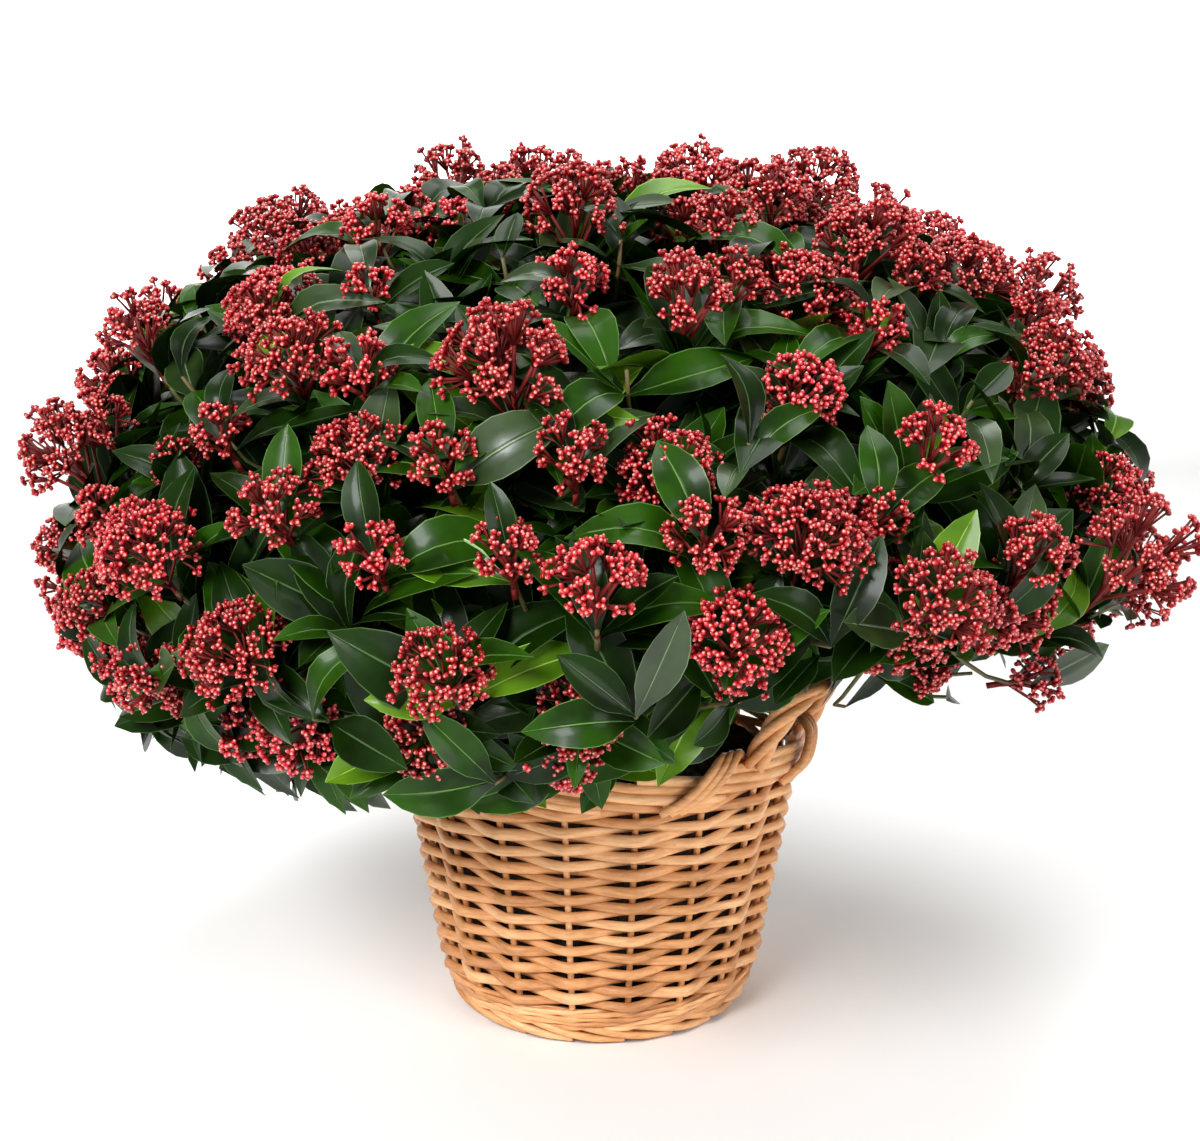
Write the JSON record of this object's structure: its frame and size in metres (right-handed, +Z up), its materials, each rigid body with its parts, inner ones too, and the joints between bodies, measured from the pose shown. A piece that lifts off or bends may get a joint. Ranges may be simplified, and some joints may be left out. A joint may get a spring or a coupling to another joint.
{
  "type": "potted skimmia shrub",
  "caption": "Flowering evergreen skimmia with crimson bud heads over dark glossy leaves, standing in a round woven willow basket with ear handles.",
  "frame": {"origin": "centre of the basket's flat underside", "axes": "+Z up along the stem, +X to the side where the crown hangs less low, -Y to the front"},
  "size_m": [0.7386, 0.7393, 0.5723],
  "materials": {
    "willow": "satin",
    "compost": "matte",
    "bark": "matte",
    "foliage": "satin"
  },
  "bodies": {
    "root": {"basket": "willow", "handle_right": "willow", "handle_left": "willow", "compost": "compost", "main_stem": "bark", "low_bough_1": "bark", "low_foliage_1": "foliage", "low_bough_2": "bark", "low_foliage_2": "foliage", "low_bough_3": "bark", "low_foliage_3": "foliage", "low_bough_4": "bark", "low_foliage_4": "foliage", "low_bough_5": "bark", "low_foliage_5": "foliage", "low_bough_6": "bark", "low_foliage_6": "foliage", "low_bough_7": "bark", "low_foliage_7": "foliage", "low_bough_8": "bark", "low_foliage_8": "foliage", "mid_bough_1": "bark", "mid_foliage_1": "foliage", "mid_bough_2": "bark", "mid_foliage_2": "foliage", "mid_bough_3": "bark", "mid_foliage_3": "foliage", "mid_bough_4": "bark", "mid_foliage_4": "foliage", "mid_bough_5": "bark", "mid_foliage_5": "foliage", "mid_bough_6": "bark", "mid_foliage_6": "foliage", "mid_bough_7": "bark", "mid_foliage_7": "foliage", "mid_bough_8": "bark", "mid_foliage_8": "foliage", "top_bough_1": "bark", "top_foliage_1": "foliage", "top_bough_2": "bark", "top_foliage_2": "foliage", "top_bough_3": "bark", "top_foliage_3": "foliage"}
  },
  "joints": []
}
